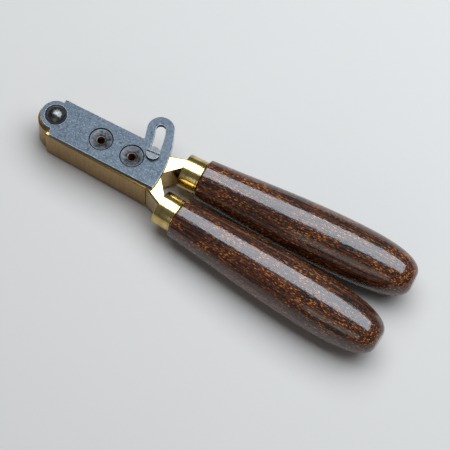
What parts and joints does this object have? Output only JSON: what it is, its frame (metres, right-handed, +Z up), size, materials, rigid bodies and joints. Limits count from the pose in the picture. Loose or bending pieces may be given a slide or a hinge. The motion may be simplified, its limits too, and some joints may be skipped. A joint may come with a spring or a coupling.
{
  "type": "two-ball casting mould with wooden handles",
  "caption": "Hand-held nutcracker mould for casting round balls: hinged brass halves, swinging steel sprue plate, turned wooden handles with brass ferrules.",
  "frame": {"origin": "centre of the part's box in plan, at the height of the handles' lowest line", "axes": "+X along the parting plane from the hinge to the handles, +Y to the fixed half, +Z up through the sprue plate; the hinge axis runs along Z at x = -95.73 mm, y = 0.36 mm"},
  "size_m": [0.21, 0.0634, 0.0305],
  "materials": {
    "brass_block": "brushed, warm, a little tarnished",
    "blued_steel": "mottled blue-grey, worn bright along the edges",
    "dark_steel": "blackened and polished",
    "bright_steel": "bright, turned",
    "ferrule_brass": "polished",
    "lacquered_wood": "dark red-brown stain with short flecks under gloss lacquer"
  },
  "bodies": {
    "fixed_side": {"fixed_half": "brass_block", "hinge_pin": "dark_steel", "hinge_spring_washer": "dark_steel", "hinge_end_washer": "bright_steel", "stop_screw": "bright_steel", "front_alignment_pin": "bright_steel", "rear_alignment_pin": "bright_steel", "fixed_ferrule": "ferrule_brass", "fixed_handle": "lacquered_wood", "fixed_handle_pin": "ferrule_brass"},
    "swing_side": {"swing_half": "brass_block", "swing_ferrule": "ferrule_brass", "swing_handle": "lacquered_wood", "swing_handle_pin": "ferrule_brass"},
    "cutter": {"sprue_plate": "blued_steel"}
  },
  "joints": [
    {"name": "mould_hinge", "type": "hinge", "parent": "fixed_side", "child": "swing_side", "pos_m": [-0.09573, 0.00036, 0.0148], "axis": [0, 0, -1], "range_deg": [0, 50]},
    {"name": "sprue_swing", "type": "hinge", "parent": "fixed_side", "child": "cutter", "pos_m": [-0.09573, 0.00036, 0.0258], "axis": [0, 0, -1], "range_deg": [0, 15.6]}
  ]
}
